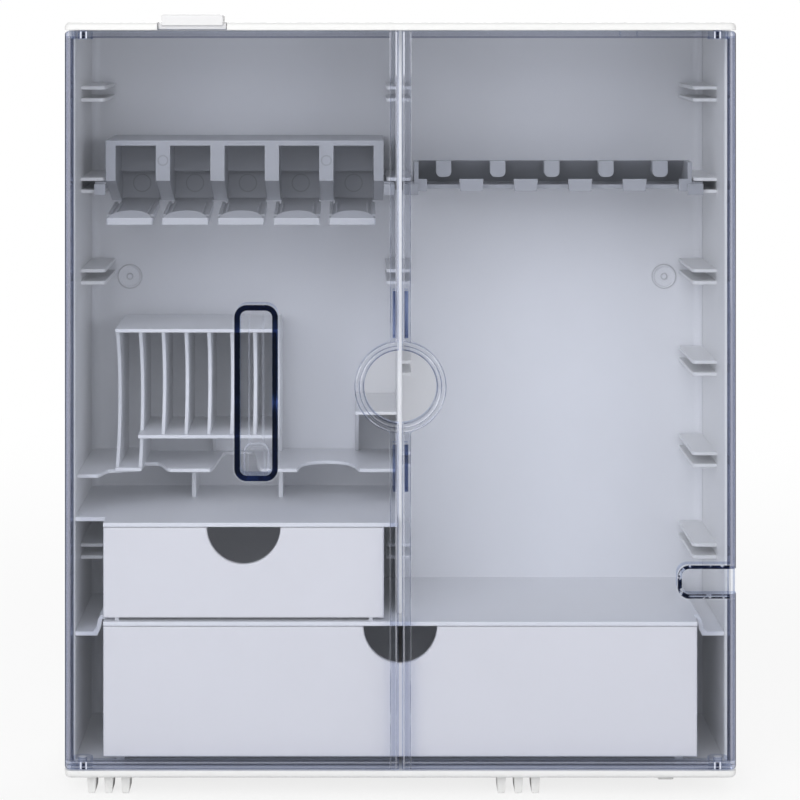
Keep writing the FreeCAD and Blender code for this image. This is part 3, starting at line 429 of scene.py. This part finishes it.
    def pocket_floor(self):
        """Reflections in the pocket's floor, which lies behind the outer face."""
        cup = self.round_rectangle(centre=(-0.0522, 0.1200), half=(0.0044, 0.0062), corner=0.0032)
        left_line = -0.0549
        right_line = -0.0497
        line_heights = (0.127, 0.172)
        shine = self.either(
            self.both(self.band(cup, 0.0, 0.00028, 0.0002), 0.20),
            self.both(self.band(cup, -0.0014, 0.0002, 0.0002), 0.10),
        )
        lines = self.either(
            self.band(self.x, left_line, 0.00022, 0.0002),
            self.both(self.band(self.x, right_line, 0.0004, 0.0002), 0.6),
        )
        streaked = self.step(self.streaks, 0.3, 0.7, 0.10, 0.30)
        lines = self.both(lines, self.between(self.z, *line_heights, 0.002), streaked)
        deep = self.both(self.flat, self.depth_step(0.0027, 0.0035))
        self.gleam(self.both(self.either(shine, lines), deep))

    def clear(self):
        """Light passes with the tint, a smooth skin reflects more of it at a slant, and a pale matt shader
        shows the painted highlights.
        """
        haze = self.noise(self.where, 14.0, 3.0, 0.55)
        ripple = self.add("ShaderNodeBump", {"Strength": 0.03, "Distance": 0.0004, "Height": haze})
        glass = self.add("ShaderNodeBsdfTransparent", {"Color": self.colour})
        sheen = self.blend(self.rim, rgba(0.80, 0.85, 0.95), rgba(0.12, 0.16, 0.30))
        gloss = self.add(
            "ShaderNodeBsdfGlossy",
            {"Color": sheen, "Roughness": self.step(haze, 0.3, 0.7, 0.02, 0.06), "Normal": ripple},
        )
        slant = self.add("ShaderNodeLayerWeight", {"Blend": 0.5}).outputs["Facing"]
        mirror = self.math("MULTIPLY_ADD", self.math("POWER", slant, 5.0), 0.96, 0.04)
        skin = self.add("ShaderNodeMixShader", {0: mirror, 1: glass, 2: gloss})
        # the painted highlights: a pale matt shader lit by the lamps
        glare = self.add("ShaderNodeBsdfDiffuse", {"Color": rgba(0.84, 0.87, 0.97)})
        return self.finish(self.add("ShaderNodeMixShader", {0: self.pale, 1: skin, 2: glare}))


def turned_steel(name):
    """Steel turned on a lathe: fine rings and small stains."""
    p = Paint(name)
    where = p.place()
    wave = {"Vector": where, "Scale": 900.0, "Distortion": 1.5}
    rings = p.add("ShaderNodeTexWave", wave, bands_direction="Z").outputs["Fac"]
    stain = p.noise(where, 400.0, 3.0)
    colour = p.blend(p.step(stain, 0.35, 0.7), rgba(0.60, 0.60, 0.61), rgba(0.72, 0.72, 0.73))
    rough = p.step(stain, 0.3, 0.7, 0.22, 0.38)
    bump = p.add("ShaderNodeBump", {"Strength": 0.15, "Distance": 0.00005, "Height": rings})
    shader = p.add(
        "ShaderNodeBsdfPrincipled",
        {"Base Color": colour, "Metallic": 1.0, "Roughness": rough, "Normal": bump},
    )
    return p.finish(shader)


def rubber(name):
    """Matt rubber with dust in its grain."""
    p = Paint(name)
    where = p.place()
    grain = p.noise(where, 1500.0, 3.0, 0.7)
    dust = p.noise(where, 300.0, 3.0)
    colour = p.blend(p.step(dust, 0.3, 0.7), rgba(0.60, 0.60, 0.60), rgba(0.72, 0.72, 0.71))
    rough = p.step(dust, 0.3, 0.7, 0.75, 0.9)
    bump = p.add("ShaderNodeBump", {"Strength": 0.4, "Distance": 0.0001, "Height": grain})
    shader = p.add("ShaderNodeBsdfPrincipled", {"Base Color": colour, "Roughness": rough, "Normal": bump})
    return p.finish(shader)


def wall_marks():
    """A circle and its centre dot on each side of the back wall."""
    across = 0.104
    height = 0.1798
    circle = 0.0046
    dot = 0.0011
    return [(side * across, height, radius) for side in (-1, 1) for radius in (circle, dot)]


def rack_marks():
    """A circle at the back of each bobbin pocket, and a small one on two of the posts."""
    first = -0.0981
    pitch = 0.0203
    pocket_height = 0.2172
    pocket_radius = 0.0033
    post_height = 0.2276
    post_radius = 0.0018
    pockets = [(first + pitch * number, pocket_height, pocket_radius) for number in range(5)]
    posts = [(first + pitch * (number + 0.5), post_height, post_radius) for number in (0, 3)]
    return pockets + posts


def flap_pad(node):
    """The centre and radius of the half-round pad at a flap's tip."""
    radius = 0.0077
    corners = [node.matrix_world @ Vector(corner) for corner in node.bound_box]
    middle = sum(corner.x for corner in corners) / len(corners)
    tip = min(corner.y for corner in corners)
    return (middle, tip, radius)


# a finish for each slot, and a finish of its own for some pieces
finishes = {
    "shell": moulded("casing_white", (0.85, 0.85, 0.845), 0.40),
    "inner": moulded("inner_white", (0.89, 0.895, 0.91), 0.42),
    "drawer": moulded("drawer_white", (0.865, 0.85, 0.85), 0.38, drop=0.01),
    "bin": moulded("bin_white", (0.88, 0.885, 0.90), 0.40),
    "clip": moulded("clip_pale_grey", (0.80, 0.80, 0.81), 0.38),
    "foot": moulded("foot_pale", (0.86, 0.86, 0.855), 0.45, drop=0.02),
    "pin": turned_steel("pin_steel"),
    "pad": rubber("pad_rubber"),
}
# the grey racks and flaps get strongly lighter edges: partly wear, partly painted highlight
special = {
    "left_door": ClearDoor("left_door_clear", -1).clear(),
    "right_door": ClearDoor("right_door_clear", 1).clear(),
    # the presser foot rack: painted shade on its faces that look down
    "presser_foot_rack": moulded(
        "presser_rack_grey", (0.41, 0.42, 0.445), 0.36, edge_wear_and_highlight=0.9, lift=1.35, below=0.62
    ),
    "bobbin_rack": moulded(
        "bobbin_rack_grey", (0.47, 0.48, 0.505), 0.36, edge_wear_and_highlight=0.9, lift=1.3, marks=rack_marks()
    ),
    "casing_back": moulded("back_white", (0.89, 0.895, 0.91), 0.42, marks=wall_marks()),
}
for number in range(1, 6):
    flap = "bobbin_flap_%d" % number
    special[flap] = moulded(
        flap + "_grey", (0.62, 0.63, 0.655), 0.36, edge_wear_and_highlight=0.9, lift=1.25, pad=flap_pad(nodes[flap])
    )
for entry in frame["record"]["subparts"]:
    node = nodes[entry["node"]]
    finish = special.get(entry["node"]) or finishes[entry["material_slot"]]
    if not node.data.materials:
        node.data.materials.append(finish)
    for index in range(len(node.data.materials)):
        node.data.materials[index] = finish


def white_where_seen(p, plain, seen):
    """The seen shader for camera and clear rays, and the plain one for the rest."""
    path = p.add("ShaderNodeLightPath")
    rays = p.math("MAXIMUM", path.outputs["Is Camera Ray"], path.outputs["Is Transmission Ray"])
    return p.add("ShaderNodeMixShader", {0: rays, 1: plain, 2: seen})


def floor_material():
    """A pale floor that keeps a faint shadow near the box and is white further out."""
    shadow_reach = (0.2, 0.9)
    p = Paint("floor_pale")
    far = p.add("ShaderNodeVectorMath", {0: p.place()}, operation="LENGTH").outputs["Value"]
    pale = p.add("ShaderNodeBsdfDiffuse", {"Color": rgba(0.92, 0.92, 0.92)})
    white = p.add("ShaderNodeEmission", {"Color": rgba(1, 1, 1), "Strength": 1.0})
    seen = p.add("ShaderNodeMixShader", {0: p.step(far, *shadow_reach, 0.80, 1.0), 1: pale, 2: white})
    plain = p.add("ShaderNodeBsdfDiffuse", {"Color": rgba(0.88, 0.88, 0.88)})
    return p.finish(white_where_seen(p, plain, seen))


# the floor and the world round it
floor_radius = 6.0
floor_height = -0.0002
bpy.ops.mesh.primitive_circle_add(
    vertices=96, radius=floor_radius, fill_type="NGON", location=(0, 0, floor_height)
)
floor = bpy.context.object
floor.name = "studio_floor"
floor.data.materials.append(floor_material())

world = bpy.data.worlds.new("studio")
scene.world = world
world.use_nodes = True
sky = ShaderTree(world.node_tree)
soft_sky = sky.add("ShaderNodeBackground", {"Color": rgba(1, 1, 1), "Strength": 0.50})
seen_sky = sky.add("ShaderNodeBackground", {"Color": rgba(1, 1, 1), "Strength": 1.0})
sky.add("ShaderNodeOutputWorld", {"Surface": white_where_seen(sky, soft_sky, seen_sky)})


def lamp(name, place, aim, size, power):
    """A soft rectangular lamp at a place, aimed at a point."""
    data = bpy.data.lights.new(name, "AREA")
    data.shape = "RECTANGLE"
    data.size, data.size_y = size
    data.energy = power
    made = bpy.data.objects.new(name, data)
    scene.collection.objects.link(made)
    made.location = place
    made.rotation_euler = (Vector(aim) - Vector(place)).to_track_quat("-Z", "Y").to_euler()


# place, aim, size and power of each lamp
lamp("key_lamp", (-0.5, -1.35, 0.95), (0, -0.02, 0.14), (1.5, 1.0), 11.3)
lamp("left_lamp", (-0.95, -1.15, 0.20), (0, 0, 0.10), (0.7, 0.5), 2.0)
lamp("right_lamp", (0.8, -1.25, 0.32), (0, 0, 0.12), (0.7, 0.6), 2.8)
lamp("top_lamp", (0.1, -0.75, 1.7), (0, -0.04, 0.1), (1.4, 0.8), 1.0)
lamp("rear_lamp", (0.2, 1.7, 0.9), (0, 0, 0.15), (1.2, 0.9), 10.0)


def slanted_camera(place, slant_right, slant_down, lens):
    """A camera that looks along +Y with its picture plane parallel to the doors.

    The middle ray slants down to the box, by so much for each unit along +Y. The camera hangs on a
    stand whose stretch makes that slant.
    """
    back = np.array((-slant_right, -1.0, slant_down))
    reach = float(np.linalg.norm(back))
    picture_right = (1.0, 0.0, 0.0)
    picture_up = (0.0, 0.0, 1.0)
    turn, stretch, spin = np.linalg.svd(np.column_stack((picture_right, picture_up, back / reach)))
    if np.linalg.det(turn) < 0:
        turn[:, 2] *= -1
        spin[2] *= -1
    stand = bpy.data.objects.new("camera_stand", None)
    stand.location = place
    stand.rotation_mode = "QUATERNION"
    stand.rotation_quaternion = Matrix(turn.tolist()).to_quaternion()
    stand.scale = stretch.tolist()
    scene.collection.objects.link(stand)
    view = bpy.data.cameras.new("photo_camera")
    view.sensor_fit = "HORIZONTAL"
    view.sensor_width = 36.0
    view.lens = lens * reach
    view.clip_start = 0.05
    view.clip_end = 30.0
    camera = bpy.data.objects.new("photo_camera", view)
    scene.collection.objects.link(camera)
    camera.parent = stand
    camera.rotation_mode = "QUATERNION"
    camera.rotation_quaternion = Matrix(spin.tolist()).to_quaternion()
    return camera


camera_place = (-0.01674, door_front - 1.0, 0.2859)
scene.camera = slanted_camera(camera_place, slant_right=0.01656, slant_down=0.14256, lens=125.0)
scene.view_settings.view_transform = "Standard"
